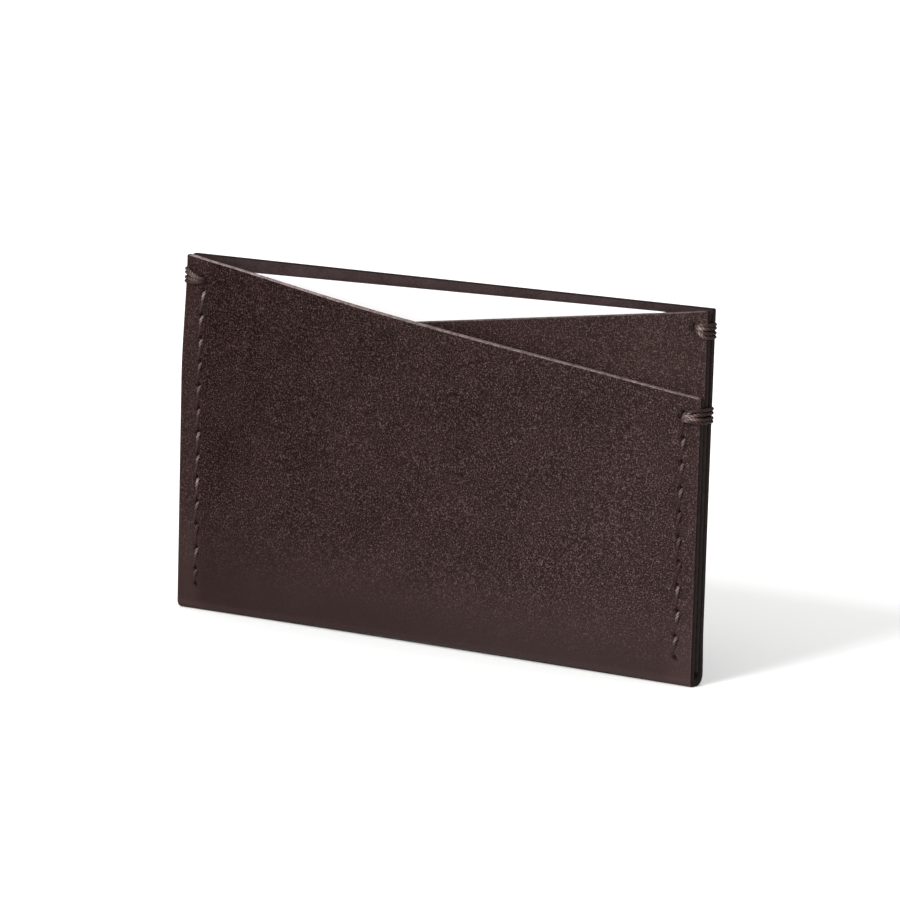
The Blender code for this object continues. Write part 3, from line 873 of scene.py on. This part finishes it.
def plain_card():
    """Blank card: a rounded rectangle carried through the profile of its thin bevelled rim.

    Each ring is the rectangle drawn in by its own inset, with its corner arcs drawn in too, and
    stands at its own depth. The whole card is turned by its small tilt about its centre.
    """
    turn = np.linspace(0.0, np.pi / 2, 12)
    half_w, half_h, half_t = CARD_WIDTH / 2, CARD_HEIGHT / 2, CARD_THICKNESS / 2
    bevel = np.array([8.0, 2.0, 0.6])
    inset = np.concatenate([bevel, np.zeros(8), bevel[::-1]]) * CARD_BEVEL
    rim = np.array([1.0, 1.0, 1.0, 0.82, 0.4, 0.38, 0.36])
    depth = np.concatenate([rim, -rim[::-1]]) * half_t
    arc_x = np.concatenate([np.cos(turn), -np.sin(turn), -np.cos(turn), np.sin(turn)])
    arc_z = np.concatenate([np.sin(turn), np.cos(turn), -np.sin(turn), -np.cos(turn)])
    corner_x = np.repeat([1, -1, -1, 1], len(turn)) * (half_w - CARD_CORNER)
    corner_z = np.repeat([1, 1, -1, -1], len(turn)) * (half_h - CARD_CORNER)
    reach = CARD_CORNER - inset[:, None]
    flat_x = corner_x + arc_x * reach
    flat_z = corner_z + arc_z * reach
    centre_x, centre_z = (CARD_LOW.x + CARD_HIGH.x) / 2, (CARD_LOW.z + CARD_HIGH.z) / 2 - CARD_SETTLE
    x = centre_x + flat_x * np.cos(CARD_TILT) - flat_z * np.sin(CARD_TILT)
    z = centre_z + flat_x * np.sin(CARD_TILT) + flat_z * np.cos(CARD_TILT)
    middle_y = BACK_FACE - LEATHER - CARD_CLEARANCE - half_t
    y = middle_y + np.broadcast_to(depth[:, None], x.shape)
    points = np.stack([x, y, z], axis=2)
    rows, size = x.shape
    piece = new_piece("plain_card", points, capped_rings(rows, size), "card", "blank_card",
                      [CARD_PLASTIC])
    core = np.where(np.abs(depth) < 0.37 * half_t, 1.0, 0.0)
    store(piece, "core", np.broadcast_to(core[:, None], x.shape))


plain_card()


# ---------------------------------------------------------------- floor, light and camera

def stage_floor():
    """Square sheet of paper under everything, far wider than the view."""
    corners = [(side * FLOOR_REACH, end * FLOOR_REACH, 0.0)
               for side, end in ((-1, -1), (1, -1), (1, 1), (-1, 1))]
    mesh = bpy.data.meshes.new("floor_paper")
    mesh.from_pydata(corners, [], [(0, 1, 2, 3)])
    mesh.materials.append(PAPER)
    floor = bpy.data.objects.new("floor_paper", mesh)
    bpy.context.scene.collection.objects.link(floor)


def lamp(name, kind, place, target, **settings):
    """Light at a place, turned to face a target, with its own settings."""
    data = bpy.data.lights.new(name, kind)
    for key, value in settings.items():
        setattr(data, key, value)
    light = bpy.data.objects.new(name, data)
    heading = Vector(target) - Vector(place)
    turn = heading.to_track_quat("-Z", "Y").to_matrix().to_4x4()
    light.matrix_world = Matrix.Translation(place) @ turn
    bpy.context.scene.collection.objects.link(light)


def studio_world(zenith, horizon):
    """Soft white dome: dim up to a quarter of the way up, and full from three quarters of it."""
    world = bpy.data.worlds.new("studio_dome")
    world.use_nodes = True
    tree = world.node_tree
    tree.nodes.clear()
    heading = node(tree, "ShaderNodeTexCoord", {}).outputs["Generated"]
    height = node(tree, "ShaderNodeSeparateXYZ", {"Vector": heading}).outputs["Z"]
    glow = ranged(tree, height, 0.25, 0.75, horizon, zenith, interpolation_type="SMOOTHSTEP")
    sky = node(tree, "ShaderNodeBackground", {"Color": (1.0, 1.0, 1.0, 1.0), "Strength": glow})
    node(tree, "ShaderNodeOutputWorld", {"Surface": sky.outputs["Background"]})
    bpy.context.scene.world = world


def camera_place():
    """Camera turned about the object by yaw, pitch and roll, with a small step right and up."""
    yaw, pitch, roll = CAMERA_TURNS
    forward = np.array([-np.sin(yaw) * np.cos(pitch), np.cos(yaw) * np.cos(pitch), -np.sin(pitch)])
    level = np.array([np.cos(yaw), np.sin(yaw), 0.0])
    upright = np.cross(level, forward)
    right = np.cos(roll) * level + np.sin(roll) * upright
    up = -np.sin(roll) * level + np.cos(roll) * upright
    place = CAMERA_AIM - forward * CAMERA_DISTANCE + right * CAMERA_SIDESTEP + up * CAMERA_UPSTEP
    data = bpy.data.cameras.new("portrait_camera")
    data.lens, data.sensor_width = 180.0, 36.0
    data.clip_start, data.clip_end = 0.01, 20.0
    camera = bpy.data.objects.new("portrait_camera", data)
    columns = np.stack([right, up, -forward], axis=1)
    camera.matrix_world = Matrix.Translation(place) @ Matrix(columns.tolist()).to_4x4()
    bpy.context.scene.collection.objects.link(camera)
    bpy.context.scene.camera = camera


stage_floor()
studio_world(zenith=1.3, horizon=0.30)
lamp("key_sun", "SUN", SUN_PLACE, (0.0, 0.0, 0.0), energy=3.2, angle=np.radians(18))
camera_place()
bpy.context.scene.view_settings.view_transform = "Standard"
